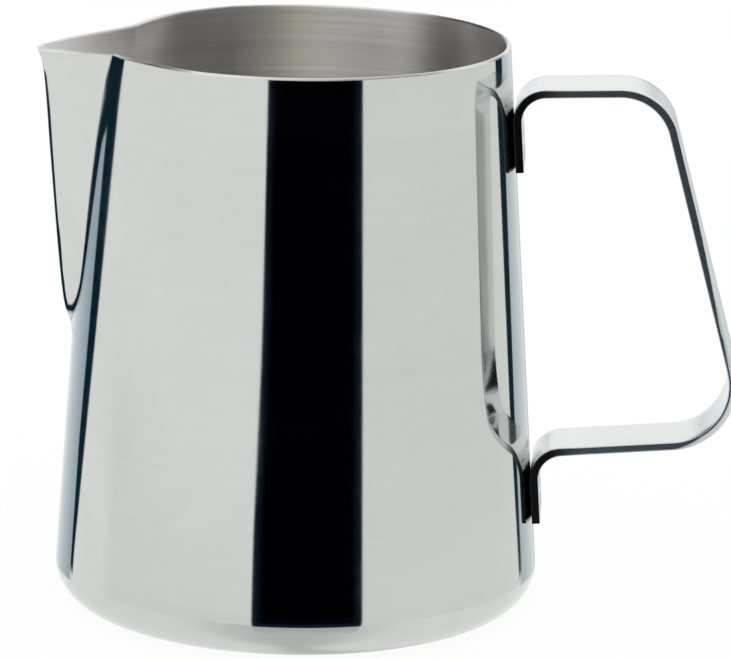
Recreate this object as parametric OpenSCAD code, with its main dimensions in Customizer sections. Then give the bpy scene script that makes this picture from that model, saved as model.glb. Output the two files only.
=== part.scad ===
// Stainless steel milk jug: a drawn, tapered body with a pressed V spout welded
// into its wall and a bent strip handle spot-welded to its back.
// The base rests on z = 0, the spout points to -X and the handle to +X.

/* [Body] */
// Height of the rim above the table
body_h = 106.6; // [95:0.1:120]
// Radius at which the line of the straight wall meets the table
base_r = 46; // [43:0.1:50]
// Outside radius of the rim
rim_r = 38.6; // [36:0.1:41]
// Sheet thickness of the wall and base
wall_t = 0.9; // [0.6:0.05:1.4]
// Outside radius of the rounded corner between base and wall
corner_r = 7.2; // [5:0.1:10]

/* [Spout] */
// Sheet thickness of the spout
spout_t = 0.9; // [0.6:0.05:1.2]
// Height of the spout from its toe up to the rim
spout_h = 57.2; // [48:0.1:66]
// Height of the rounded toe, where the spout grows out of the wall
toe_h = 7.7; // [6:0.1:10]
// How far the ridge stands out from the wall at the top of the toe
toe_reach = 2.5; // [1.8:0.1:3.5]
// Half of the angle that the spout spans within the wall at the top of the toe
toe_half_angle = 17.5; // [14:0.5:20]
// Outside rounding of the ridge at the toe
toe_nose_r = 6; // [5:0.1:7]
// Height from the foot of the flared lip up to the rim
lip_h = 5.6; // [4.5:0.1:7]
// How far the ridge stands out from the wall at the foot of the lip
lip_reach = 9.2; // [7:0.1:11]
// Half of the angle that the spout spans within the wall at the lip
lip_half_angle = 32.5; // [30:0.5:35]
// Outside rounding of the ridge at the lip
lip_nose_r = 4; // [3:0.1:5]
// How far the lip flares out at the tip
lip_flare = 1.2; // [0.6:0.1:1.8]
// How far the tip of the lip lies below the rim
lip_drop = 2.6; // [1.5:0.1:3.5]
// Length over which the pouring edge slopes down to the tip
lip_run = 21; // [19:0.5:24]
// Size of the weld bead between spout and wall
bead = 0.25; // [0.2:0.05:0.5]

/* [Handle] */
// Width of the strip
strip_w = 15; // [12:0.5:18]
// Thickness of the strip
strip_t = 1.5; // [1:0.1:2]
// Depth of the upper bar below the rim, where it meets its foot
upper_bar_drop = 7.9; // [6:0.1:12]
// Length of the upper bar from its foot to the grip corner
upper_bar_l = 27.0; // [22:0.1:34]
// Upward slope of the upper bar
upper_bar_rise = 2; // [0:0.5:4]
// Length of the upper foot below its bar
upper_foot_l = 14.7; // [11:0.1:16]
// Height of the lower bar above the table, where it meets its foot
lower_bar_h = 30.6; // [26:0.1:36]
// Upward slope of the lower bar
lower_bar_rise = 5; // [0:0.5:8]
// Length of the lower foot below its bar
lower_foot_l = 13.6; // [11:0.1:16]
// Outward lean of the grip from the vertical
grip_lean = 15.2; // [10:0.1:18]
// Bend radius between a foot and its bar, at the middle of the strip
foot_bend_r = 5.3; // [4:0.1:6]
// Bend radius at the upper grip corner, at the middle of the strip
upper_bend_r = 10; // [7:0.1:13]
// Bend radius at the lower grip corner, at the middle of the strip
lower_bend_r = 11.6; // [8:0.1:14]
// Diameter of a spot weld
weld_d = 3; // [2:0.1:4]
// Distance between the two spot welds of a foot
weld_pitch = 4.2; // [4.1:0.1:5]
// Height of the lower spot weld above the end of its foot
weld_edge = 2.4; // [2.1:0.1:3]

/* [Hidden] */
$fn = 240;
// Steps of a rounded corner or bend
arc_steps = 16;
// Sides of the circle that rounds the ridge
nose_sides = 48;
// Spare length by which a cutting solid passes the faces that it cuts
spare = 1;
// Thickness of the levels between which the spout's form is stretched
skin = 0.2;
// Depth within the wall at which the flanks of the spout end
root_depth = 0.6 * wall_t;

// Lean of the wall from the vertical
lean = atan((base_r - rim_r) / body_h);
// Middle of the rounded base corner, measured from the axis
corner_x = base_r - corner_r / tan((90 - lean) / 2);
// Outside radius of the wall at a height
function wall_r(z) = base_r - (base_r - rim_r) * z / body_h;

function turned(angle) = [cos(angle), sin(angle)];
// Points of an arc about a middle point
function arc(middle, r, from, to) = [
    for (i = [0 : arc_steps])
        middle + r * turned(from + (to - from) * i / arc_steps)
];

// Section of the cup, with its outside moved inwards by inset, closed at the top
module cup_section(inset, top) {
    polygon(concat(
        [[0, top], [0, inset]],
        arc([corner_x, corner_r], corner_r - inset, -90, lean),
        [[wall_r(top) - inset / cos(lean), top]]
    ));
}

// The cup as a full solid
module cup_solid(inset, top = body_h) {
    rotate_extrude()
        cup_section(inset, top);
}

// Everything above the rim, with the slope that leads down to the tip of the lip
module above_pouring_edge() {
    reach = wall_r(body_h) + lip_reach + lip_flare;
    size = 2 * base_r;
    translate([lip_run - reach, 0, body_h])
        rotate([0, -atan(lip_drop / lip_run), 0])
            translate([-size, -size, 0])
                cube([2 * size, 2 * size, size]);
}

// Heights of the spout's levels: the toe, the top of the toe, the foot of the lip, above the rim
toe_z = body_h - spout_h;
heel_z = toe_z + toe_h;
lip_z = body_h - lip_h;
top_z = body_h + spare;
// Flare of the lip, carried on above the rim so that the pouring edge can be cut from it
top_flare = lip_flare * (top_z - lip_z) / (lip_h - lip_drop);

// One level of the spout: a V with a rounded ridge, whose flanks run into the wall at half_angle
// and then straight back through it. inset moves the faces in, and a negative inset out.
module spout_level(z, ridge_x, nose_r, half_angle, inset) {
    nose_x = ridge_x - nose_r;
    root = (wall_r(z) - root_depth) * turned(half_angle);
    run = nose_x - root.x;
    flank = atan2(root.y, run) - asin(nose_r / norm([run, root.y]));
    root_y = root.y - inset;
    root_x = nose_x + (nose_r - inset - root_y * cos(flank)) / sin(flank);
    back_x = root_x / 2;
    translate([0, 0, z])
        mirror([1, 0, 0])
            linear_extrude(skin) {
                translate([nose_x, 0])
                    circle(nose_r - inset, $fn = nose_sides);
                polygon([[back_x, -root_y], [root_x, -root_y], [root_x, root_y], [back_x, root_y]]);
            }
}

module toe_level(inset) {
    z = toe_z + min(inset, 0);
    spout_level(z, wall_r(z) - root_depth, toe_nose_r, toe_half_angle / 2, inset);
}

module heel_level(inset)
    spout_level(heel_z, wall_r(heel_z) + toe_reach, toe_nose_r, toe_half_angle, inset);

module lip_level(inset)
    spout_level(lip_z, wall_r(lip_z) + lip_reach, lip_nose_r, lip_half_angle, inset);

module top_level(inset)
    spout_level(top_z, wall_r(lip_z) + lip_reach + top_flare, lip_nose_r, lip_half_angle, inset);

// The spout as a full solid
module spout_solid(inset) {
    hull() {
        toe_level(inset);
        heel_level(inset);
        lip_level(inset);
    }
    hull() {
        lip_level(inset);
        top_level(inset);
    }
}

// Corners of the middle line of the handle strip, in the plane of spout and handle
function foot_point(z) = [wall_r(z), z] + strip_t / 2 * turned(lean);
function meet(p, p_angle, q, q_angle) =
    p + turned(p_angle) * cross(q - p, turned(q_angle)) / cross(turned(p_angle), turned(q_angle));
upper_root = foot_point(body_h - upper_bar_drop);
lower_root = foot_point(lower_bar_h);
upper_toe = foot_point(upper_root.y - upper_foot_l);
lower_toe = foot_point(lower_root.y - lower_foot_l);
upper_corner = upper_root + upper_bar_l * turned(upper_bar_rise);
lower_corner = meet(upper_corner, grip_lean - 90, lower_root, lower_bar_rise);
strip_path = [upper_toe, upper_root, upper_corner, lower_corner, lower_root, lower_toe];
strip_bends = [0, foot_bend_r, upper_bend_r, lower_bend_r, foot_bend_r, 0];

strip_ends = len(strip_path) - 1;

// Heading of the straight stretch after corner i, and the angle by which the strip turns there
function heading(i) =
    atan2(strip_path[i + 1].y - strip_path[i].y, strip_path[i + 1].x - strip_path[i].x);
function turn(i) = (heading(i) - heading(i - 1) + 540) % 360 - 180;
// Bend radius at corner i, negative for a bend to the right, and the middle of the bend
function bend_r(i) = sign(turn(i)) * strip_bends[i];
function bend_middle(i) =
    strip_path[i]
    - strip_bends[i] * tan(abs(turn(i)) / 2) * turned(heading(i - 1))
    + bend_r(i) * turned(heading(i - 1) + 90);
// One side of the strip, at an offset to the left of its middle line
function strip_side(offset) = [
    strip_path[0] + offset * turned(heading(0) + 90),
    for (i = [1 : strip_ends - 1])
        each arc(bend_middle(i), offset - bend_r(i), heading(i - 1) + 90, heading(i - 1) + 90 + turn(i)),
    strip_path[strip_ends] + offset * turned(heading(strip_ends - 1) + 90)
];
function backwards(list) = [for (i = [len(list) - 1 : -1 : 0]) list[i]];

// Side view of the bent strip
module strip_profile() {
    polygon(concat(strip_side(strip_t / 2), backwards(strip_side(-strip_t / 2))));
}

// Pair of spot welds on the foot that ends at toe, from inside the jug to the outer face of the
// foot, or past that face to cut the holes for them
module spot_welds(toe, past = 0) {
    for (i = [0, 1])
        translate([toe.x, 0, toe.y])
            rotate([0, 90 - lean, 0])
                translate([-weld_edge - i * weld_pitch, 0, -strip_t / 2 - wall_t - spare])
                    cylinder(d = weld_d, h = strip_t + wall_t + spare + past);
}

// Tapered cup with the opening for the spout
module body() {
    color("silver")
        difference() {
            cup_solid(0);
            cup_solid(wall_t, body_h + spare);
            spout_solid(0);
            above_pouring_edge();
            spot_welds(upper_toe, spare);
            spot_welds(lower_toe, spare);
        }
}

// Pressed V of sheet metal, trimmed flush with the inside of the wall
module spout() {
    color("gainsboro")
        difference() {
            spout_solid(0);
            spout_solid(spout_t);
            cup_solid(wall_t, body_h + 2 * spare);
            above_pouring_edge();
        }
}

// Bead of weld metal in the corner between the spout and the outside of the wall
module spout_weld_bead() {
    color("darkgray")
        difference() {
            intersection() {
                spout_solid(-bead);
                cup_solid(-bead, body_h + spare);
            }
            spout_solid(0);
            cup_solid(0, body_h + spare);
            above_pouring_edge();
        }
}

// Bent strip with a flat foot at each end
module handle() {
    color("lightgray")
        difference() {
            rotate([90, 0, 0])
                linear_extrude(strip_w, center = true)
                    strip_profile();
            spot_welds(upper_toe, spare);
            spot_welds(lower_toe, spare);
        }
}

module upper_handle_welds() {
    color("gray")
        difference() {
            spot_welds(upper_toe);
            cup_solid(wall_t);
        }
}

module lower_handle_welds() {
    color("gray")
        difference() {
            spot_welds(lower_toe);
            cup_solid(wall_t);
        }
}

body();
spout();
spout_weld_bead();
handle();
upper_handle_welds();
lower_handle_welds();
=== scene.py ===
"""Stainless steel milk jug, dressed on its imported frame.

The spout points to -X, the handle to +X and the base rests on z = 0. Sizes are
in millimetres up to the last step of each piece, which turns them into metres.
"""
import math

import bpy
import numpy as np
from mathutils import Matrix, Vector


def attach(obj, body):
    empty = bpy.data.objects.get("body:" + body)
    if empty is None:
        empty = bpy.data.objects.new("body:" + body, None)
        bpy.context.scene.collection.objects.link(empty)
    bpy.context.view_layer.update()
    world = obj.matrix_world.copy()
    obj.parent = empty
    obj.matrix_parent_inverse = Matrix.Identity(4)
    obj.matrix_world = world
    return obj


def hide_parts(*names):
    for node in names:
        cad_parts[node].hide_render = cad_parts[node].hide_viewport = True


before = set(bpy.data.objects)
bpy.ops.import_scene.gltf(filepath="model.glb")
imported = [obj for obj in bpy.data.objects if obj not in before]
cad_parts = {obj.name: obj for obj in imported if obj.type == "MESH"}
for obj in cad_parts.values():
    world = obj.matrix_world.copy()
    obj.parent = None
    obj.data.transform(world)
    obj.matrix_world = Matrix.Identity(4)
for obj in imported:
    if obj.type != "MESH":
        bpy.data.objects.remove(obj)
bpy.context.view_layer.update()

MM = 0.001

# Body
BODY_H = 106.6
BASE_R = 46.0
RIM_R = 38.6
WALL_T = 0.9
CORNER_R = 7.2
LEAN = math.atan((BASE_R - RIM_R) / BODY_H)
CORNER_X = BASE_R - CORNER_R / math.tan((math.pi / 2 - LEAN) / 2)
CORNER_TOP = CORNER_R * (1 + math.sin(LEAN))

# Pouring edge: the rim slopes down to the tip of the lip
POUR_START = 28.4
POUR_SLOPE = 2.6 / 21.0
POUR_SOFT = 1.5
POUR_FROM = 80.0
# The rim is drawn in towards the middle plane beside the root of the spout: by distance from the axis
RIM_DRAWN_FROM = 96.0
RIM_DRAWN_AT = [17.0, 22.0, 26.4, 29.0, 31.4, 33.4, 44.5, 48.0]
RIM_DRAWN_BY = [0.0, 0.7, 1.2, 1.7, 2.6, 4.0, 0.4, 0.0]

# Handle strip
STRIP_W = 15.0
STRIP_T = 1.5
STRIP_EDGE_R = 0.14
# Share of the edge that is bevelled, by point along the grip and round the lower bend
BEVEL_SLOPE = math.tan(math.radians(19.5))
GRIP_BEVEL = [7, 16, 22], [0, 0.55, 0.7]
HEEL_BEVEL = [0, 20, 28], [0.7, 0.66, 0]
GRIP_POINTS = 23
BEND_POINTS = 29
UPPER_BAR_Z = 98.7
UPPER_BAR_L = 27.0
UPPER_BAR_RISE = math.radians(2.0)
UPPER_FOOT_L = 14.7
LOWER_BAR_Z = 30.6
LOWER_BAR_RISE = math.radians(5.0)
LOWER_FOOT_L = 13.6
GRIP_LEAN = math.radians(15.2)
FOOT_BEND_R = 5.3
UPPER_BEND_R = 10.0
LOWER_BEND_R = 11.6
WELD_D = 3.0
WELD_PITCH = 4.2
WELD_EDGE = 2.4
WELD_DISH = 0.14
WELD_PROUD = 0.04


def smooth_curve(*knots):
    """A function that runs smoothly through (x, value) knots without overshooting."""
    xs, ys = np.array(knots, float).T
    step = np.diff(xs)
    rise = np.diff(ys) / step
    slope = np.concatenate([rise, rise[-1:]])
    same = rise[:-1] * rise[1:] > 0
    total = np.where(same, rise[:-1] + rise[1:], 1.0)
    slope[1:-1] = np.where(same, 2 * rise[:-1] * rise[1:] / total, 0.0)

    def at(x):
        x = np.clip(np.asarray(x, float), xs[0], xs[-1])
        i = np.clip(np.searchsorted(xs, x) - 1, 0, len(step) - 1)
        t = (x - xs[i]) / step[i]
        return (
            ys[i] * (1 + 2 * t) * (1 - t) ** 2
            + ys[i + 1] * t * t * (3 - 2 * t)
            + step[i] * (slope[i] * t * (1 - t) ** 2 + slope[i + 1] * t * t * (t - 1))
        )

    return at


# Spout, by height: how far the ridge stands out from the wall, the rounding of the ridge, the half
# angle at which the flanks meet the wall, and the softness of the crease between them
ridge_reach = smooth_curve(
    (44, -3.0), (48, -0.9), (50.3, -0.15), (52.6, 0.95), (54.9, 1.9), (57.2, 2.5), (66.4, 4.1),
    (84.7, 6.85), (99.0, 8.95), (101.0, 9.4), (102.6, 10.0), (104.0, 10.75), (107.0, 12.6),
)
ridge_round = smooth_curve((50, 6.0), (62, 5.2), (100, 4.0), (107, 3.4))
crease_angle = smooth_curve(
    (48, 5.5), (53, 5.8), (55.5, 8.5), (58.2, 14.6), (62, 18.5), (67.9, 20.7),
    (79.6, 23.7), (90, 25.9), (100.7, 28.9), (107, 30.9),
)
SWELL_FROM = (44.0, 48.0)
SWELL_FADE = np.radians((4, 14))
crease_soft = smooth_curve((44, 0.3), (50, 0.45), (55, 0.32), (60, 0.12), (70, 0.08), (107, 0.06))


def wall_radius(z):
    return BASE_R - (BASE_R - RIM_R) * z / BODY_H


def smoothstep(low, high, x):
    t = np.clip((x - low) / (high - low), 0, 1)
    return t * t * (3 - 2 * t)


def spout_section(z):
    """Ridge circle, flank slope, angle where the ridge turns into the flank, and crease angle."""
    wall = wall_radius(z)
    nose_r = ridge_round(z)
    nose_x = wall + ridge_reach(z) - nose_r
    crease = np.radians(crease_angle(z))
    run = nose_x - wall * np.cos(crease)
    across = wall * np.sin(crease)
    flank = np.arctan2(across, run) - np.arcsin(np.clip(nose_r / np.hypot(run, across), 0, 1))
    turn = np.arctan2(nose_r * np.cos(flank), nose_x + nose_r * np.sin(flank))
    return nose_r, nose_x, flank, turn, crease


def jug_radius(theta, z):
    """Outside of the jug at an angle from the spout's ridge and a height."""
    wall = wall_radius(z)
    nose_r, nose_x, flank, turn, crease = spout_section(z)
    nose = nose_x * np.cos(theta) + np.sqrt(np.maximum(nose_r ** 2 - (nose_x * np.sin(theta)) ** 2, 0))
    facing = np.pi / 2 - flank
    line = (nose_x * np.sin(flank) + nose_r) / np.cos(np.minimum(theta - facing, 0))
    line = line - 12 * np.maximum(theta - facing, 0)
    out = np.where(theta < turn, nose, line) - wall
    swell = 0.5 * (out + np.sqrt(out ** 2 + crease_soft(z) ** 2))
    fade = 1 - smoothstep(*SWELL_FADE, theta - crease)
    return wall + swell * fade * smoothstep(*SWELL_FROM, z)


def pouring_edge(x):
    """Height of the rim at a distance from the axis towards the spout."""
    run = (x - POUR_START) / POUR_SOFT
    return BODY_H - POUR_SLOPE * POUR_SOFT * np.logaddexp(0, run)


# The outside of the jug is one grid: its columns follow the ridge, the flank, the crease and the wall
RIDGE_COLS, FLANK_COLS, CREASE_COLS, WALL_COLS = 9, 12, 14, 64
CREASE_HALF = 1.5
SPOUT_FROM = 52.0
BEAD_FROM = 49.6
# Its rows run over the base, round the corner and up the wall, closer together by the spout's toe and the rim
BASE_ROWS, CORNER_ROWS, LIP_ROWS = 10, 14, 7
TOE_FROM, TOE_TO, RIM_FROM = 44, 62, 99


def half_columns(z):
    """Angles of the columns from the ridge round to the handle, at one height."""
    turn, crease = spout_section(z)[3:]
    turn = max(float(turn), math.radians(2))
    half = CREASE_HALF / wall_radius(z)
    first = max(float(crease) - half, turn + math.radians(0.4))
    last = first + 2 * half
    wall = np.linspace(0, 1, WALL_COLS + 1)[1:]
    return np.concatenate([
        np.linspace(0, turn, RIDGE_COLS + 1),
        np.linspace(turn, first, FLANK_COLS + 1)[1:],
        np.linspace(first, last, CREASE_COLS + 1)[1:],
        last + (math.pi - last) * (0.35 * wall ** 2 + 0.65 * wall),
    ])


def jug_rows():
    """Rows of points of the outside, from the middle of the base up to the rim, and their heights."""
    heights = np.concatenate([
        np.linspace(CORNER_TOP, TOE_FROM, 16),
        np.linspace(TOE_FROM, TOE_TO, 56)[1:],
        np.linspace(TOE_TO, RIM_FROM, 46)[1:],
        np.linspace(RIM_FROM, BODY_H, 28)[1:],
    ])
    rows = []
    angles = half_columns(CORNER_TOP)
    for r in np.concatenate([[0.02], np.linspace(4, CORNER_X, BASE_ROWS - 1)]):
        rows.append((angles, np.full_like(angles, r), np.zeros_like(angles)))
    for turn in np.linspace(-math.pi / 2, LEAN, CORNER_ROWS + 2)[1:-1]:
        r = CORNER_X + CORNER_R * math.cos(turn)
        z = CORNER_R + CORNER_R * math.sin(turn)
        rows.append((angles, np.full_like(angles, r), np.full_like(angles, z)))
    for level in heights:
        angles = half_columns(level)
        share = max(level - POUR_FROM, 0) / (BODY_H - POUR_FROM)
        z = np.full_like(angles, level)
        for _ in range(4):
            rim = pouring_edge(jug_radius(angles, z) * np.cos(angles)) - WALL_T / 2
            z = level + (rim - BODY_H) * share
        rows.append((angles, jug_radius(angles, z), z))
    levels = np.concatenate([np.zeros(BASE_ROWS), np.ones(CORNER_ROWS), heights])
    points = []
    for angles, r, z in rows:
        theta = np.concatenate([-angles[:0:-1], angles[:-1]])
        r = np.concatenate([r[:0:-1], r[:-1]])
        z = np.concatenate([z[:0:-1], z[:-1]])
        points.append(np.stack([-r * np.cos(theta), -r * np.sin(theta), z], 1))
    return np.array(points), levels


def drawn_in(points, levels):
    """The rows near the rim, drawn in towards the middle plane beside the spout."""
    share = np.clip((levels - RIM_DRAWN_FROM) / (BODY_H - RIM_DRAWN_FROM), 0, 1) ** 2
    by = share[:, None] * np.interp(-points[..., 0], RIM_DRAWN_AT, RIM_DRAWN_BY)
    side = points[..., 1]
    side = side - np.sign(side) * np.minimum(by, abs(side) / 2)
    return np.stack([points[..., 0], side, points[..., 2]], -1)


def grid_normals(points):
    """Normals of a grid whose rows run up and whose columns close into a ring."""
    up = np.gradient(points, axis=0)
    round_ = np.roll(points, -1, axis=1) - np.roll(points, 1, axis=1)
    normal = np.cross(round_, up)
    return normal / np.linalg.norm(normal, axis=2, keepdims=True)


# Pressed form of the spout: flat flanks that turn into the wall along a soft U-shaped crease. The
# crease is given by height: its half angle, its width and the way it faces on its two sides
CREASE_FOOT = 54.8
RIDGE_FLAT = 0.3
FLANK_FACING = math.radians(38.5)
RIM_TILT = (98, 106)
crease_line = smooth_curve(
    (CREASE_FOOT, 0), (55.0, 4.0), (55.6, 8.0), (56.7, 11.6), (58.4, 15.0), (62.0, 18.6), (67.9, 20.8),
    (79.6, 23.8), (90.1, 26.6), (97.4, 29.1), (101.3, 30.5), (107.0, 32.4),
)
ridge_edge = smooth_curve((54, 0.7), (60, 0.68), (76, 0.62), (95, 0.56), (107, 0.5))
crease_width = smooth_curve(
    (54, 1.4), (58, 1.8), (63, 2.0), (71, 2.4), (80, 2.8), (92, 3.0), (98, 3.2), (103, 3.5), (107, 3.6)
)
crease_spout_side = smooth_curve((55, 30.3), (107, 34.0))
crease_wall_side = smooth_curve((55, 27.2), (89, 28.9), (97, 32.0), (107, 33.5))


def crease_offset(theta, z):
    """Distance from the crease line along the unrolled wall, in crease widths, below 0 on the spout."""
    foot = CREASE_FOOT + (62 - CREASE_FOOT) * np.linspace(0, 1, 80) ** 2
    line_z = np.concatenate([foot, np.linspace(62, 107, 140)])
    line_s = wall_radius(line_z) * np.radians(crease_line(line_z))
    s = wall_radius(z) * theta
    apart = np.hypot(s[..., None] - line_s, z[..., None] - line_z).min(axis=-1)
    inside = (z > CREASE_FOOT) & (theta < np.radians(crease_line(z)))
    return np.where(inside, -apart, apart) / crease_width(z)


def pressed_normals(points, normals):
    """Normals of the outside with the flat flanks and soft crease of the pressed spout."""
    x, y, z = -points[..., 0], -points[..., 1], points[..., 2]
    theta = np.abs(np.arctan2(y, x))
    near = (theta < np.radians(45)) & (z > 46)
    q = np.ones_like(z)
    q[near] = crease_offset(theta[near], z[near])
    spout_side, wall_side = np.radians(crease_spout_side(z)), np.radians(crease_wall_side(z))
    off_ridge = np.abs(y) / ridge_round(z)
    edge = ridge_edge(z)
    ridge = np.where(
        off_ridge < RIDGE_FLAT,
        wall_side * off_ridge / RIDGE_FLAT,
        wall_side + (spout_side - wall_side) * np.clip((off_ridge - RIDGE_FLAT) / (edge - RIDGE_FLAT), 0, 1),
    )
    ridge = ridge + (FLANK_FACING - ridge) * smoothstep(edge, edge + 0.2, off_ridge)
    crease = np.where(
        q < -0.5,
        FLANK_FACING + (spout_side - FLANK_FACING) * smoothstep(-0.9, -0.5, q),
        spout_side + (wall_side - spout_side) * np.clip(q + 0.5, 0, 1),
    )
    facing = np.minimum(crease, ridge)
    facing = facing + (theta - facing) * smoothstep(0.5, 0.95, q)
    tilt = LEAN * (0.3 + 0.7 * smoothstep(-0.5, 0.9, q))
    tilt = tilt + (np.arcsin(normals[..., 2]) - tilt) * smoothstep(*RIM_TILT, z)
    pressed = np.stack([
        -np.cos(tilt) * np.cos(facing), -np.cos(tilt) * np.sin(facing) * np.sign(y), np.sin(tilt)
    ], -1)
    return np.where((q < 0.95)[..., None], pressed, normals)


def jug_shell():
    """Grid of the whole sheet: up the outside, over the rounded rim and down the inside."""
    plain, levels = jug_rows()
    outer = drawn_in(plain, levels)
    normal, facing = grid_normals(outer), grid_normals(plain)
    normal[0] = facing[0] = (0, 0, -1)
    inner = outer - WALL_T * normal
    rise = outer[-1] - outer[-2]
    rise -= normal[-1] * np.sum(rise * normal[-1], axis=1, keepdims=True)
    rise /= np.linalg.norm(rise, axis=1, keepdims=True)
    middle = outer[-1] - WALL_T / 2 * normal[-1]
    turns = np.linspace(0, math.pi, LIP_ROWS + 2)[1:-1]
    lip_normals = [math.cos(a) * normal[-1] + math.sin(a) * rise for a in turns]
    lip = [middle + WALL_T / 2 * n for n in lip_normals]
    points = np.concatenate([outer, lip, inner[::-1]])
    normals = np.concatenate([pressed_normals(plain, facing), lip_normals, -normal[::-1]])
    levels = np.concatenate([levels, np.full(len(lip), BODY_H), levels[::-1]])
    return points, normals, levels


def owner_of(column, columns, level):
    """The piece that a face of the grid belongs to, by its column and its height."""
    side = abs(column + 0.5 - columns / 2)
    flank_end = RIDGE_COLS + FLANK_COLS
    if side > flank_end + CREASE_COLS or level < BEAD_FROM:
        return "body"
    if side > flank_end or level < SPOUT_FROM:
        return "spout_weld_bead"
    return "spout"


def jug_pieces():
    """Meshes of body, spout and weld bead, each closed by the cut through the sheet.

    The lip and the inside take the second material.
    """
    points, normals, levels = jug_shell()
    rows, columns = points.shape[:2]
    lip_start = (rows - LIP_ROWS) // 2 - 1
    owners = {"body": [], "spout": [], "spout_weld_bead": []}
    for s in range(rows - 1):
        level = min(levels[s], levels[s + 1])
        for j in range(columns):
            k = (j + 1) % columns
            quad = (s * columns + j, s * columns + k, (s + 1) * columns + k, (s + 1) * columns + j)
            owners[owner_of(j, columns, level)].append((quad, int(s >= lip_start)))
    hub = [tuple(range(columns))[::-1], tuple((rows - 1) * columns + j for j in range(columns))]
    owners["body"] += [(hub[0], 0), (hub[1], 1)]
    flat_points, flat_normals = points.reshape(-1, 3), normals.reshape(-1, 3)
    return {
        name: sheet_mesh(name, faces, flat_points, flat_normals, rows, columns)
        for name, faces in owners.items()
    }


def sheet_mesh(name, faces, points, normals, rows, columns):
    """Mesh of one piece of the sheet, with the grid's own normals on its two sides."""
    def partner(v):
        return (rows - 1 - v // columns) * columns + v % columns

    edges = {(f[i], f[(i + 1) % len(f)]) for f, _ in faces for i in range(len(f))}
    cut = []
    for a, b in edges:
        if (b, a) not in edges and max(a, b) // columns <= (rows - 1) // 2:
            ring = [b, a, partner(a), partner(b)]
            cut.append(tuple(v for i, v in enumerate(ring) if v not in ring[:i]))
    used = sorted({v for f, _ in faces for v in f})
    index = {v: i for i, v in enumerate(used)}
    polygons = [f for f, _ in faces] + cut
    mesh = bpy.data.meshes.new(name)
    mesh.from_pydata((points[used] * MM).tolist(), [], [[index[v] for v in f] for f in polygons])
    sides = [side for _, side in faces] + [1] * len(cut)
    mesh.polygons.foreach_set("material_index", sides)
    mesh.polygons.foreach_set("use_smooth", [True] * len(polygons))
    around = mesh.uv_layers.new(name="around").data
    for polygon, ring in zip(mesh.polygons, polygons):
        turns = [v % columns for v in ring]
        for loop, v, turn in zip(polygon.loop_indices, ring, turns):
            wrapped = turn + columns if max(turns) - turn > columns / 2 else turn
            around[loop].uv = (wrapped / columns, v // columns / rows)
    loop_normals = []
    for polygon, ring in zip(mesh.polygons, polygons):
        own = polygon.index >= len(faces) or len(ring) > 4
        loop_normals += [tuple(polygon.normal) if own else tuple(normals[v]) for v in ring]
    mesh.normals_split_custom_set(loop_normals)
    return mesh


def new_object(name, mesh, *materials):
    piece = bpy.data.objects.new(name, mesh)
    bpy.context.scene.collection.objects.link(piece)
    for material in materials:
        if material.name not in mesh.materials:
            mesh.materials.append(material)
    return piece


def hand_in(piece, node):
    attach(piece, "root")
    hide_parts(node)


# Shader helpers
class Nodes:
    """Adds and links nodes of one tree."""

    def __init__(self, tree, clear=True):
        self.tree = tree
        if clear:
            self.tree.nodes.clear()

    def add(self, kind, inputs=None, **settings):
        node = self.tree.nodes.new(kind)
        for key, value in settings.items():
            setattr(node, key, value)
        for key, value in (inputs or {}).items():
            if isinstance(value, bpy.types.NodeSocket):
                self.tree.links.new(value, node.inputs[key])
            else:
                node.inputs[key].default_value = value
        return node

    def math(self, operation, a, b=0.0, c=0.0):
        return self.add("ShaderNodeMath", {0: a, 1: b, 2: c}, operation=operation).outputs[0]

    def ramp(self, value, low, high, to_low=0.0, to_high=1.0, kind="SMOOTHSTEP"):
        node = self.add(
            "ShaderNodeMapRange",
            {"Value": value, "From Min": low, "From Max": high, "To Min": to_low, "To Max": to_high},
            interpolation_type=kind,
        )
        return node.outputs["Result"]

    def mix_colour(self, factor, a, b):
        node = self.add("ShaderNodeMix", data_type="RGBA")
        for socket, value in ((node.inputs[0], factor), (node.inputs[6], a), (node.inputs[7], b)):
            if isinstance(value, bpy.types.NodeSocket):
                self.tree.links.new(value, socket)
            else:
                socket.default_value = value
        return node.outputs[2]


def new_group(name, inputs, outputs):
    tree = bpy.data.node_groups.new(name, "ShaderNodeTree")
    nodes = Nodes(tree)
    for label, value in inputs:
        tree.interface.new_socket(label, in_out="INPUT", socket_type="NodeSocketFloat").default_value = value
    for label in outputs:
        tree.interface.new_socket(label, in_out="OUTPUT", socket_type="NodeSocketFloat")
    return nodes, nodes.add("NodeGroupInput").outputs, nodes.add("NodeGroupOutput")


def brushed_lines_group():
    """Fine lines left round the jug by the brush: a mask for tone and roughness, and a height."""
    nodes, given, out = new_group(
        "brushed_lines", [("Along", 12.0), ("Across", 1600.0), ("Contrast", 1.0)], ["Mask", "Height"]
    )
    place = nodes.add("ShaderNodeTexCoord").outputs["Object"]
    split = nodes.add("ShaderNodeSeparateXYZ", {0: place}).outputs
    along_x = nodes.math("MULTIPLY", split[0], given["Along"])
    along_y = nodes.math("MULTIPLY", split[1], given["Along"])
    across = nodes.math("MULTIPLY", split[2], given["Across"])
    line = nodes.add("ShaderNodeCombineXYZ", {0: along_x, 1: along_y, 2: across}).outputs[0]
    fine = nodes.add("ShaderNodeTexNoise", {"Vector": line, "Scale": 1.0, "Detail": 5.0, "Roughness": 0.65})
    broad = nodes.add("ShaderNodeTexNoise", {"Vector": line, "Scale": 0.17, "Detail": 3.0, "Roughness": 0.6})
    both = nodes.math("ADD", fine.outputs[0], broad.outputs[0])
    swing = nodes.math("MULTIPLY", nodes.math("SUBTRACT", both, 1.0), given["Contrast"])
    mask = nodes.ramp(swing, -0.35, 0.35)
    nodes.tree.links.new(mask, out.inputs["Mask"])
    nodes.tree.links.new(both, out.inputs["Height"])
    return nodes.tree


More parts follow.
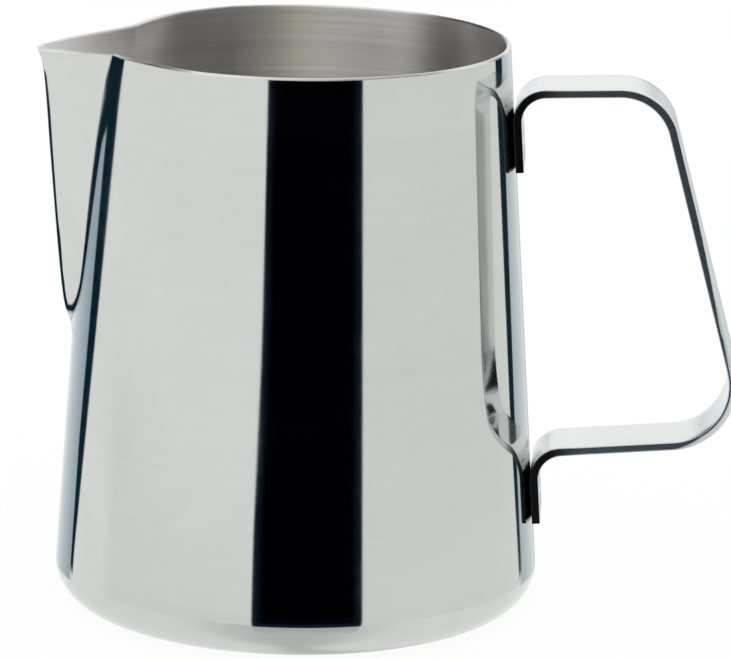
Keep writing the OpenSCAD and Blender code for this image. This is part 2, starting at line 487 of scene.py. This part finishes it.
def handling_marks_group():
    """Soft smears and short hairline scratches left by handling and polishing cloths."""
    nodes, given, out = new_group(
        "handling_marks", [("Smear Scale", 35.0), ("Scratch Scale", 260.0)], ["Smears", "Scratches"]
    )
    place = nodes.add("ShaderNodeTexCoord").outputs["Object"]
    smear = nodes.add(
        "ShaderNodeTexNoise",
        {"Vector": place, "Scale": given["Smear Scale"], "Detail": 4.0, "Roughness": 0.6, "Distortion": 0.6},
    )
    turned = nodes.add(
        "ShaderNodeMapping", {"Vector": place, "Rotation": (0.5, 0.9, 0.3), "Scale": (1.0, 1.0, 0.06)}
    )
    scratch = nodes.add(
        "ShaderNodeTexVoronoi",
        {"Vector": turned.outputs[0], "Scale": given["Scratch Scale"]},
        feature="DISTANCE_TO_EDGE",
    )
    hair = nodes.ramp(scratch.outputs["Distance"], 0.0, 0.035, 1.0, 0.0)
    patch = nodes.ramp(smear.outputs[0], 0.5, 0.68)
    nodes.tree.links.new(nodes.ramp(smear.outputs[0], 0.3, 0.75), out.inputs["Smears"])
    nodes.tree.links.new(nodes.math("MULTIPLY", hair, patch), out.inputs["Scratches"])
    return nodes.tree


BRUSHED_LINES = brushed_lines_group()
HANDLING_MARKS = handling_marks_group()


def new_material(name):
    material = bpy.data.materials.new(name)
    material.use_nodes = True
    nodes = Nodes(material.node_tree)
    surface = nodes.add("ShaderNodeBsdfPrincipled")
    nodes.add("ShaderNodeOutputMaterial", {"Surface": surface.outputs[0]})
    return material, nodes, surface


def group(nodes, tree, **values):
    node = nodes.add("ShaderNodeGroup", node_tree=tree)
    for label, value in values.items():
        node.inputs[label.replace("_", " ")].default_value = value
    return node.outputs


def link(nodes, socket, surface, label):
    nodes.tree.links.new(socket, surface.inputs[label])


def steel(
    name, light, dark, rough_low, rough_high, lines, bump, along=12.0, across=1600.0, contrast=1.0
):
    """Steel whose tone and gloss vary along brushed lines and with handling marks."""
    material, nodes, surface = new_material(name)
    surface.inputs["Metallic"].default_value = 1.0
    brushed = group(nodes, BRUSHED_LINES, Along=along, Across=across, Contrast=contrast)
    marks = group(nodes, HANDLING_MARKS)
    tone = nodes.math("MULTIPLY", brushed["Mask"], lines)
    tone = nodes.math("ADD", tone, nodes.math("MULTIPLY", marks["Smears"], 1 - lines))
    link(nodes, nodes.mix_colour(tone, (*dark, 1), (*light, 1)), surface, "Base Color")
    rough = nodes.math("MULTIPLY", tone, 0.7)
    rough = nodes.math("ADD", rough, nodes.math("MULTIPLY", marks["Scratches"], 0.5))
    link(nodes, nodes.ramp(rough, 0.0, 1.0, rough_low, rough_high, "LINEAR"), surface, "Roughness")
    height = nodes.math("ADD", brushed["Height"], nodes.math("MULTIPLY", marks["Scratches"], -0.4))
    relief = nodes.add("ShaderNodeBump", {"Strength": bump, "Distance": 0.00002, "Height": height})
    link(nodes, relief.outputs[0], surface, "Normal")
    return material


def brushed_round(material):
    """Spread the gloss across the brush lines, which run round the jug."""
    nodes = material.node_tree.nodes
    surface = nodes["Principled BSDF"]
    surface.inputs["Anisotropic"].default_value = 1.0
    surface.inputs["Anisotropic Rotation"].default_value = 0.25
    tangent = nodes.new("ShaderNodeTangent")
    tangent.direction_type = "UV_MAP"
    tangent.uv_map = "around"
    material.node_tree.links.new(tangent.outputs[0], surface.inputs["Tangent"])


# Painted light: the satin is made less metallic towards the tip of the spout, so its diffuse part catches the
# white light and reads paler: by x, and by height above its toe
PALE_TIP, PALE_TIP_SHARE = (-47.0, -36.0), 0.27
PALE_ROOT, PALE_ROOT_SHARE = (-37.0, -24.0), 0.6
PALE_ABOVE = (50.0, 90.0)
# The cut edges of the strip are duller than its faces and carry a painted cool reflection; near the wall by
# the welds they are darkened with painted shade
CUT_DEPTH = (0.2, 0.06)
CUT_DULL = 0.042
CUT_REFLECTION_TONE = (0.64, 0.72, 0.755)
WALL_SHADE_REACH = (3.0, 11.0)
WALL_SHADE_SHARE = 0.94
WALL_SHADE_TONE = (0.02, 0.02, 0.024)


def in_metres(sizes):
    return [size * MM for size in sizes]


def painted_light_in_spout(material):
    """Painted light: make the satin less metallic, so paler, from the wall towards the tip of the spout."""
    nodes = Nodes(material.node_tree, clear=False)
    place = nodes.add("ShaderNodeTexCoord").outputs["Object"]
    split = nodes.add("ShaderNodeSeparateXYZ", {0: place}).outputs
    tip = nodes.ramp(split[0], *in_metres(PALE_TIP), PALE_TIP_SHARE, 0.0)
    root = nodes.ramp(split[0], *in_metres(PALE_ROOT), PALE_ROOT_SHARE, 0.0)
    above = nodes.ramp(split[2], *in_metres(PALE_ABOVE))
    # painted light: the less metallic satin reads paler towards the spout's tip
    painted_lift = nodes.math("MULTIPLY", nodes.math("ADD", tip, root), above)
    link(nodes, nodes.math("SUBTRACT", 1.0, painted_lift), nodes.tree.nodes["Principled BSDF"], "Metallic")


def cut_edges(material):
    """Set off the cut edges of the strip, duller with a painted cool reflection, and darken them near the
    wall with painted shade.
    """
    nodes = Nodes(material.node_tree, clear=False)
    surface = nodes.tree.nodes["Principled BSDF"]
    place = nodes.add("ShaderNodeTexCoord").outputs["Object"]
    split = nodes.add("ShaderNodeSeparateXYZ", {0: place}).outputs
    wall = nodes.math("MULTIPLY_ADD", split[2], -(BASE_R - RIM_R) / BODY_H, BASE_R * MM)
    off_wall = nodes.math("SUBTRACT", split[0], wall)
    # painted shade: dark cut edges close to the wall, by the welds
    painted_shade = nodes.ramp(off_wall, *in_metres(WALL_SHADE_REACH), WALL_SHADE_SHARE, 0.0)
    edge_from, edge_to = in_metres(STRIP_W / 2 - depth for depth in CUT_DEPTH)
    edge = nodes.ramp(nodes.math("ABSOLUTE", split[1]), edge_from, edge_to)
    painted_shade = nodes.math("MULTIPLY", painted_shade, edge)
    link(nodes, nodes.math("MULTIPLY_ADD", edge, -CUT_DULL, 1.0), surface, "Metallic")
    tone = surface.inputs["Base Color"].links[0].from_socket
    # painted reflection: a cool tone on the cut edges
    tone = nodes.mix_colour(edge, tone, (*CUT_REFLECTION_TONE, 1))
    link(nodes, nodes.mix_colour(painted_shade, tone, (*WALL_SHADE_TONE, 1)), surface, "Base Color")


POLISHED = steel("polished_steel", (0.65, 0.66, 0.64), (0.60, 0.615, 0.60), 0.035, 0.085, 0.35, 0.04)
SATIN = steel(
    "satin_inside", (0.94, 0.93, 0.91), (0.78, 0.77, 0.76), 0.32, 0.44, 0.85, 0.3, 9.0, 1300.0, 1.5
)
brushed_round(SATIN)
# painted light inside the spout
painted_light_in_spout(SATIN)
STRIP = steel("strip_steel", (0.80, 0.81, 0.80), (0.72, 0.73, 0.73), 0.14, 0.22, 0.3, 0.05, 40.0, 900.0)
# duller cut edges, with a painted cool reflection and painted shade near the wall
cut_edges(STRIP)
WELD = steel("weld_steel", (0.63, 0.64, 0.64), (0.56, 0.57, 0.58), 0.035, 0.085, 0.3, 0.04)
SPOT = steel("spot_weld_steel", (0.50, 0.47, 0.42), (0.30, 0.29, 0.30), 0.2, 0.4, 0.2, 0.3, 300.0, 900.0)


# Body, spout and weld bead
for name, mesh in jug_pieces().items():
    outside = WELD if name == "spout_weld_bead" else POLISHED
    hand_in(new_object(name + "_dressed", mesh, outside, SATIN), name)


# Handle
def tree_with(name, *inputs):
    tree = bpy.data.node_groups.new(name, "GeometryNodeTree")
    tree.interface.new_socket("Geometry", in_out="INPUT", socket_type="NodeSocketGeometry")
    for label, kind in inputs:
        tree.interface.new_socket(label, in_out="INPUT", socket_type="NodeSocket" + kind)
    tree.interface.new_socket("Geometry", in_out="OUTPUT", socket_type="NodeSocketGeometry")
    nodes = Nodes(tree)
    return nodes, nodes.add("NodeGroupInput").outputs, nodes.add("NodeGroupOutput")


def grown(name, source, tree, material, **values):
    """Mesh that a geometry tree grows on a source mesh."""
    holder = bpy.data.objects.new(name + "_source", source)
    bpy.context.scene.collection.objects.link(holder)
    modifier = holder.modifiers.new(name, "NODES")
    modifier.node_group = tree
    given = dict(values, Material=material)
    for item in tree.interface.items_tree:
        if item.in_out == "INPUT" and item.name in given:
            modifier[item.identifier] = given[item.name]
    bpy.context.view_layer.update()
    evaluated = holder.evaluated_get(bpy.context.evaluated_depsgraph_get())
    mesh = bpy.data.meshes.new_from_object(evaluated)
    mesh.name = name
    bpy.data.objects.remove(holder)
    return mesh


def rounded(nodes, geometry):
    """Smooth shading all over, broken at the corners."""
    smooth = nodes.add("GeometryNodeSetShadeSmooth", {0: geometry}).outputs[0]
    bend = nodes.add("GeometryNodeInputMeshEdgeAngle").outputs["Unsigned Angle"]
    square = nodes.math("GREATER_THAN", bend, 0.2)
    sharp = nodes.add("GeometryNodeSetShadeSmooth", {0: smooth, "Selection": square}, domain="EDGE")
    sharp.inputs["Shade Smooth"].default_value = False
    return sharp.outputs[0]


def strip_tree():
    """A flat strip with rounded corners, swept along a path in the XY plane; its edges are bevelled."""
    nodes, given, out = tree_with(
        "bent_strip", ("Width", "Float"), ("Thickness", "Float"), ("Edge", "Float"), ("Material", "Material")
    )
    path = nodes.add("GeometryNodeMeshToCurve", {"Mesh": given["Geometry"]}).outputs[0]
    path = nodes.add("GeometryNodeSetCurveNormal", {0: path}, mode="Z_UP").outputs[0]
    section = nodes.add(
        "GeometryNodeCurvePrimitiveQuadrilateral", {"Width": given["Thickness"], "Height": given["Width"]}
    ).outputs[0]
    section = nodes.add("GeometryNodeFilletCurve", {0: section}, mode="POLY")
    section.inputs["Count"].default_value = 4
    nodes.tree.links.new(given["Edge"], section.inputs["Radius"])
    section = nodes.add("GeometryNodeSubdivideCurve", {0: section.outputs[0], "Cuts": 7}).outputs[0]
    place = nodes.add("GeometryNodeInputPosition").outputs[0]
    split = nodes.add("ShaderNodeSeparateXYZ", {0: place}).outputs
    section = nodes.add(
        "GeometryNodeStoreNamedAttribute", {0: section, "Name": "across", "Value": split[0]}
    ).outputs[0]
    strip = nodes.add("GeometryNodeCurveToMesh", {0: path, 1: section, "Fill Caps": True}).outputs[0]
    across = nodes.add("GeometryNodeInputNamedAttribute", {"Name": "across"}, data_type="FLOAT").outputs[0]
    bevel = nodes.add("GeometryNodeInputNamedAttribute", {"Name": "bevel"}, data_type="FLOAT").outputs[0]
    start = nodes.math("MULTIPLY", given["Thickness"], nodes.math("SUBTRACT", bevel, 0.5))
    beyond = nodes.math("MAXIMUM", nodes.math("SUBTRACT", start, across), 0.0)
    near_edge = nodes.math("MULTIPLY", given["Width"], 0.45)
    at_edge = nodes.math("GREATER_THAN", nodes.math("ABSOLUTE", split[2]), near_edge)
    shift = nodes.math("MULTIPLY", beyond, -BEVEL_SLOPE)
    shift = nodes.math("MULTIPLY", shift, nodes.math("SIGN", split[2]))
    lift = nodes.add("ShaderNodeCombineXYZ", {2: nodes.math("MULTIPLY", shift, at_edge)}).outputs[0]
    strip = nodes.add("GeometryNodeSetPosition", {0: strip, "Offset": lift}).outputs[0]
    strip = nodes.add("GeometryNodeTransform", {0: strip, "Rotation": (math.pi / 2, 0, 0)}).outputs[0]
    strip = nodes.add("GeometryNodeRealizeInstances", {0: rounded(nodes, strip)}).outputs[0]
    strip = nodes.add("GeometryNodeSetMaterial", {0: strip, "Material": given["Material"]}).outputs[0]
    nodes.tree.links.new(strip, out.inputs[0])
    return nodes.tree


def turned(angle):
    return np.array([math.cos(angle), math.sin(angle)])


def foot_point(z):
    """Middle of the strip where a foot lies on the wall."""
    return np.array([wall_radius(z), z]) + STRIP_T / 2 * turned(LEAN)


def bend(before, corner, after, radius):
    """Points round a bend at a corner of the strip's middle line."""
    a, b = [(p - corner) / np.linalg.norm(p - corner) for p in (before, after)]
    half = math.acos(float(a @ b)) / 2
    middle = corner + (a + b) / np.linalg.norm(a + b) * radius / math.sin(half)
    first, last = [corner + d * radius / math.tan(half) - middle for d in (a, b)]
    total = math.pi - 2 * half
    return [
        middle + (math.sin((1 - t) * total) * first + math.sin(t * total) * last) / math.sin(total)
        for t in np.linspace(0, 1, BEND_POINTS)
    ]


def strip_path():
    """Points of the strip's middle line from foot to foot, and the share of its edges bevelled at each."""
    upper, lower = foot_point(UPPER_BAR_Z), foot_point(LOWER_BAR_Z)
    corner = upper + UPPER_BAR_L * turned(UPPER_BAR_RISE)
    grip, bar = turned(GRIP_LEAN - math.pi / 2), turned(LOWER_BAR_RISE)
    span = lower - corner
    reach = (span[0] * bar[1] - span[1] * bar[0]) / (grip[0] * bar[1] - grip[1] * bar[0])
    heel = corner + reach * grip
    ends = foot_point(upper[1] - UPPER_FOOT_L), foot_point(lower[1] - LOWER_FOOT_L)
    over = bend(ends[0], upper, corner, FOOT_BEND_R) + bend(upper, corner, heel, UPPER_BEND_R)
    under = bend(corner, heel, lower, LOWER_BEND_R)
    length = [over[-1] + t * (under[0] - over[-1]) for t in np.linspace(0, 1, GRIP_POINTS + 2)[1:-1]]
    bar_end = bend(heel, lower, ends[1], FOOT_BEND_R)
    points = [ends[0]] + over + length + under + bar_end + [ends[1]]
    bevels = np.zeros(len(points))
    grip_at = 1 + len(over)
    heel_at = grip_at + GRIP_POINTS
    bevels[grip_at:heel_at] = np.interp(np.arange(GRIP_POINTS), *GRIP_BEVEL)
    bevels[heel_at:heel_at + BEND_POINTS] = np.interp(np.arange(BEND_POINTS), *HEEL_BEVEL)
    return points, bevels


def path_mesh(points, bevels):
    mesh = bpy.data.meshes.new("handle_path")
    steps = [(i, i + 1) for i in range(len(points) - 1)]
    mesh.from_pydata([(x * MM, z * MM, 0) for x, z in points], steps, [])
    mesh.attributes.new("bevel", "FLOAT", "POINT").data.foreach_set("value", bevels)
    return mesh


middle_line, bevels = strip_path()
handle_mesh = grown(
    "handle", path_mesh(middle_line, bevels), strip_tree(), STRIP,
    Width=STRIP_W * MM, Thickness=STRIP_T * MM, Edge=STRIP_EDGE_R * MM,
)
hand_in(new_object("handle_dressed", handle_mesh, STRIP), "handle")


# Spot welds
def weld_tree():
    """Round weld nuggets with a shallow dish, set on points and turned to the wall."""
    nodes, given, out = tree_with(
        "spot_welds", ("Radius", "Float"), ("Length", "Float"), ("Dish", "Float"),
        ("Tilt", "Float"), ("Material", "Material"),
    )
    nugget = nodes.add("GeometryNodeMeshCylinder", {"Vertices": 40, "Side Segments": 2, "Fill Segments": 8})
    nodes.tree.links.new(given["Radius"], nugget.inputs["Radius"])
    nodes.tree.links.new(given["Length"], nugget.inputs["Depth"])
    place = nodes.add("GeometryNodeInputPosition").outputs[0]
    split = nodes.add("ShaderNodeSeparateXYZ", {0: place}).outputs
    flat = nodes.add("ShaderNodeCombineXYZ", {0: split[0], 1: split[1]}).outputs[0]
    length = nodes.add("ShaderNodeVectorMath", {0: flat}, operation="LENGTH").outputs["Value"]
    share = nodes.math("DIVIDE", length, given["Radius"])
    bowl = nodes.math("SUBTRACT", nodes.math("POWER", share, 2.0), 1.0)
    side = nodes.math("SIGN", split[2])
    sink = nodes.math("MULTIPLY", nodes.math("MULTIPLY", bowl, given["Dish"]), side)
    offset = nodes.add("ShaderNodeCombineXYZ", {2: sink}).outputs[0]
    nugget = nodes.add("GeometryNodeSetPosition", {0: nugget.outputs[0], "Offset": offset}).outputs[0]
    nugget = rounded(nodes, nugget)
    spin = nodes.add("ShaderNodeCombineXYZ", {1: given["Tilt"]}).outputs[0]
    welds = nodes.add(
        "GeometryNodeInstanceOnPoints",
        {"Points": given["Geometry"], "Instance": nugget, "Rotation": spin},
    )
    welds = nodes.add("GeometryNodeRealizeInstances", {0: welds.outputs[0]}).outputs[0]
    welds = nodes.add("GeometryNodeSetMaterial", {0: welds, "Material": given["Material"]}).outputs[0]
    nodes.tree.links.new(welds, out.inputs[0])
    return nodes.tree


WELD_TREE = weld_tree()
for node, toe in (("upper_handle_welds", middle_line[0]), ("lower_handle_welds", middle_line[-1])):
    along, out = turned(math.pi / 2 + LEAN), turned(LEAN)
    seats = [toe + (WELD_EDGE + i * WELD_PITCH) * along - WALL_T / 2 * out for i in (0, 1)]
    dots = bpy.data.meshes.new(node + "_seats")
    dots.from_pydata([(x * MM, 0, z * MM) for x, z in seats], [], [])
    weld_mesh = grown(
        node, dots, WELD_TREE, SPOT, Radius=WELD_D / 2 * MM, Length=(STRIP_T + WALL_T + WELD_PROUD) * MM,
        Dish=WELD_DISH * MM, Tilt=math.pi / 2 - LEAN,
    )
    hand_in(new_object(node + "_dressed", weld_mesh, SPOT), node)


# Studio: pale floor, white panels all round with dark gaps between them, seen in the steel
FLOOR_HALF = 12.0
FLOOR_BELOW = 0.0002
FLOOR_WHITE = 0.93


def pale_floor():
    material = bpy.data.materials.new("pale_floor")
    material.use_nodes = True
    nodes = Nodes(material.node_tree)
    grain = nodes.add("ShaderNodeTexNoise", {"Scale": 40.0, "Detail": 3.0})
    tone = nodes.mix_colour(grain.outputs[0], (0.965, 0.965, 0.965, 1), (0.985, 0.985, 0.985, 1))
    surface = nodes.add("ShaderNodeBsdfDiffuse", {"Color": tone})
    white = nodes.add("ShaderNodeEmission", {"Color": (1, 1, 1, 1), "Strength": 1.0})
    camera = nodes.add("ShaderNodeLightPath").outputs["Is Camera Ray"]
    share = nodes.math("MULTIPLY", camera, FLOOR_WHITE)
    surface = nodes.add("ShaderNodeMixShader", {0: share, 1: surface.outputs[0], 2: white.outputs[0]})
    nodes.add("ShaderNodeOutputMaterial", {"Surface": surface.outputs[0]})
    mesh = bpy.data.meshes.new("floor")
    corners = [(x * FLOOR_HALF, y * FLOOR_HALF, 0) for x, y in ((-1, -1), (1, -1), (1, 1), (-1, 1))]
    mesh.from_pydata(corners, [], [(0, 1, 2, 3)])
    mesh.materials.append(material)
    floor = bpy.data.objects.new("floor", mesh)
    floor.location.z = -FLOOR_BELOW
    floor.visible_glossy = False
    bpy.context.scene.collection.objects.link(floor)


# Panels stand round the jug with dark gaps between them. Directions are in degrees: azimuth from the
# front (-Y) towards the handle (+X), and height above the horizon
LEFT_PANEL = (0.985, 1.0, 0.98)
LEFT_PANEL_LOW = (0.905, 0.925, 0.91)
RIGHT_PANEL = (0.90, 0.92, 0.89)
FLOOR_LEFT = (0.95, 0.985, 0.965)
FLOOR_RIGHT = (0.97, 0.98, 0.97)
FLOOR_FRONT = (0.575, 0.585, 0.575)
FLOOR_NEAR = (0.68, 0.70, 0.685)
LEFT_DARK = (0.003, 0.02, 0.036)
RIGHT_DARK = (0.007, 0.026, 0.038)
NAVY = (0.003, 0.008, 0.018)
BLACK = (0.0, 0.0, 0.001)
DUSK = (0.010, 0.010, 0.036)
# Left and right edge of each gap, as (height, azimuth) low down and higher up
LEFT_GAP = ((-12.4, -132.4), (-7.0, -122.6)), ((-13.6, -128.6), (-6.0, -109.8))
FRONT_GAP = ((-8.6, -16.2), (-6.2, -14.1)), ((-9.6, 35.6), (-3.0, 37.0))
FRONT_CORE = ((-8.6, -13.0), (-6.2, -11.0)), ((-9.6, 32.0), (-3.0, 33.0))
RIGHT_GAP = ((-13.7, 138.3), (-11.6, 135.5)), ((-12.0, 141.8), (-8.0, 145.6))
GAP_FOOT = (-14.6, -13.9)
PANEL_FOOT = (-18.5, -16.8)
FRONT_FOOT = (-21.0, -19.5)
FRONT_DUSK = (-10.0, -13.4)
# The left panel turns into the right one, and is darker low down by the left gap
RIGHT_FROM = (0.0, 20.0)
LOW_PANEL_TURN = (-104, -92)
LOW_PANEL_HEIGHT = (-11.5, -8.0)
# The floor is darker towards the front, and more so at the foot of the front gap
NEAR_TURN = 2.0
NEAR_REACH = (60, 4)
NEAR_SOFT = 0.12
FRONT_PATCH = (-46, -22)
# Tones round the jug, by azimuth: the back below the ceiling, and the ceiling
BACK = [
    (-180, (0.95, 0.97, 0.98)), (-168, (0.92, 0.95, 0.97)), (-131, (0.40, 0.51, 0.58)),
    (131, (0.425, 0.535, 0.595)), (168, (0.84, 0.86, 0.88)), (170.5, (0.58, 0.60, 0.61)),
    (174, (0.58, 0.60, 0.61)), (176.5, (0.95, 0.97, 0.98)), (180, (0.95, 0.97, 0.98)),
]
CEILING_FROM = (3.0, 9.0)
CEILING_LIFT = 20.0
LIFT_FROM, LIFT_TO = (92, 106), (150, 160)
CEILING_TOP = (48.0, 62.0)
CEILING = [
    (-180, (1.0, 1.0, 1.0)), (-168, (1.0, 1.0, 1.0)), (-158, (0.0, 0.0, 0.0)), (-78, (0.0, 0.0, 0.0)),
    (-62, (1.0, 1.0, 0.98)), (-8, (1.0, 0.99, 0.94)), (0, (0.85, 0.80, 0.66)), (8, (0.85, 0.80, 0.66)),
    (46, (0.03, 0.03, 0.03)), (92, (0.03, 0.03, 0.03)), (112, (1.0, 1.0, 1.0)), (180, (1.0, 1.0, 1.0)),
]


def gap(nodes, azimuth, height, edges, soft=0.5):
    """Masks of what lies past the left edge of a gap, past its right edge, and in it."""
    past = []
    for (low, low_turn), (high, high_turn) in edges:
        edge = nodes.ramp(height, low, high, low_turn, high_turn, "LINEAR")
        past.append(nodes.ramp(nodes.math("SUBTRACT", azimuth, edge), -soft, soft))
    return past[0], past[1], nodes.math("SUBTRACT", *past)


def ring(nodes, azimuth, tones):
    """Colour that changes with the azimuth alone."""
    node = nodes.add("ShaderNodeValToRGB", {0: nodes.ramp(azimuth, -180, 180, kind="LINEAR")})
    stops = node.color_ramp.elements
    while len(stops) < len(tones):
        stops.new(1.0)
    for stop, (degrees, tone) in zip(stops, tones):
        stop.position = (degrees + 180) / 360
        stop.color = (*tone, 1)
    return node.outputs[0]


def studio_world():
    """White all round, and the studio for what the steel reflects."""
    world = bpy.data.worlds.new("studio")
    bpy.context.scene.world = world
    world.use_nodes = True
    nodes = Nodes(world.node_tree)
    way = nodes.add("ShaderNodeTexCoord").outputs["Generated"]
    way = nodes.add("ShaderNodeSeparateXYZ", {0: way}).outputs
    forward = nodes.math("MULTIPLY", way[1], -1.0)
    azimuth = nodes.math("DEGREES", nodes.math("ARCTAN2", way[0], forward))
    height = nodes.math("DEGREES", nodes.math("ARCSINE", way[2]))
    left_from, _, left = gap(nodes, azimuth, height, LEFT_GAP)
    _, right_to, right = gap(nodes, azimuth, height, RIGHT_GAP)
    front = gap(nodes, azimuth, height, FRONT_GAP)[2]
    core = gap(nodes, azimuth, height, FRONT_CORE, 2.0)[2]
    to_right = nodes.ramp(azimuth, *RIGHT_FROM)
    low = nodes.ramp(height, *LOW_PANEL_HEIGHT, 1.0, 0.0)
    low = nodes.math("MULTIPLY", nodes.ramp(azimuth, *LOW_PANEL_TURN), low)
    left_panel = nodes.mix_colour(low, (*LEFT_PANEL, 1), (*LEFT_PANEL_LOW, 1))
    panels = nodes.mix_colour(to_right, left_panel, (*RIGHT_PANEL, 1))
    back = ring(nodes, azimuth, BACK)
    seen = nodes.mix_colour(nodes.math("SUBTRACT", left_from, right_to), back, panels)
    gap_foot = nodes.ramp(height, *GAP_FOOT)
    seen = nodes.mix_colour(nodes.math("MULTIPLY", left, gap_foot), seen, (*LEFT_DARK, 1))
    seen = nodes.mix_colour(nodes.math("MULTIPLY", right, gap_foot), seen, (*RIGHT_DARK, 1))
    floor = nodes.mix_colour(to_right, (*FLOOR_LEFT, 1), (*FLOOR_RIGHT, 1))
    fore = nodes.math("ADD", nodes.math("MAXIMUM", forward, 0.0), NEAR_SOFT)
    off_front = nodes.math("DEGREES", nodes.math("ARCTAN2", way[0], fore))
    off_front = nodes.math("ABSOLUTE", nodes.math("SUBTRACT", off_front, NEAR_TURN))
    floor = nodes.mix_colour(nodes.ramp(off_front, *NEAR_REACH), floor, (*FLOOR_NEAR, 1))
    near_front = nodes.math("MULTIPLY", front, nodes.ramp(height, *FRONT_PATCH))
    floor = nodes.mix_colour(near_front, floor, (*FLOOR_FRONT, 1))
    seen = nodes.mix_colour(nodes.ramp(height, *PANEL_FOOT), floor, seen)
    dark = nodes.mix_colour(core, (*NAVY, 1), (*BLACK, 1))
    dark = nodes.mix_colour(nodes.ramp(height, *FRONT_DUSK), dark, (*DUSK, 1))
    seen = nodes.mix_colour(nodes.math("MULTIPLY", front, nodes.ramp(height, *FRONT_FOOT)), seen, dark)
    beside = nodes.math("SUBTRACT", nodes.ramp(azimuth, *LIFT_FROM), nodes.ramp(azimuth, *LIFT_TO))
    over = nodes.math("SUBTRACT", height, nodes.math("MULTIPLY", beside, CEILING_LIFT))
    seen = nodes.mix_colour(nodes.ramp(over, *CEILING_FROM), seen, ring(nodes, azimuth, CEILING))
    seen = nodes.mix_colour(nodes.ramp(height, *CEILING_TOP), seen, (1, 1, 1, 1))
    glossy = nodes.add("ShaderNodeLightPath").outputs["Is Glossy Ray"]
    colour = nodes.mix_colour(glossy, (1, 1, 1, 1), seen)
    sky = nodes.add("ShaderNodeBackground", {"Color": colour, "Strength": 1.0})
    nodes.add("ShaderNodeOutputWorld", {"Surface": sky.outputs[0]})


CAMERA_LENS = 227.66
CAMERA_PLACE = (59.6, -840.95, 258.97)
CAMERA_AIM = (12.51, 0.70, 51.59)
CAMERA_ROLL = math.radians(0.974)


def photo_camera():
    data = bpy.data.cameras.new("camera")
    data.lens = CAMERA_LENS
    data.sensor_width = 36.0
    camera = bpy.data.objects.new("camera", data)
    place, aim = Vector(CAMERA_PLACE) * MM, Vector(CAMERA_AIM) * MM
    turn = (aim - place).to_track_quat("-Z", "Y").to_matrix().to_4x4()
    camera.matrix_world = Matrix.Translation(place) @ turn @ Matrix.Rotation(CAMERA_ROLL, 4, "Z")
    bpy.context.scene.collection.objects.link(camera)
    bpy.context.scene.camera = camera


pale_floor()
studio_world()
photo_camera()
bpy.context.scene.view_settings.view_transform = "Standard"
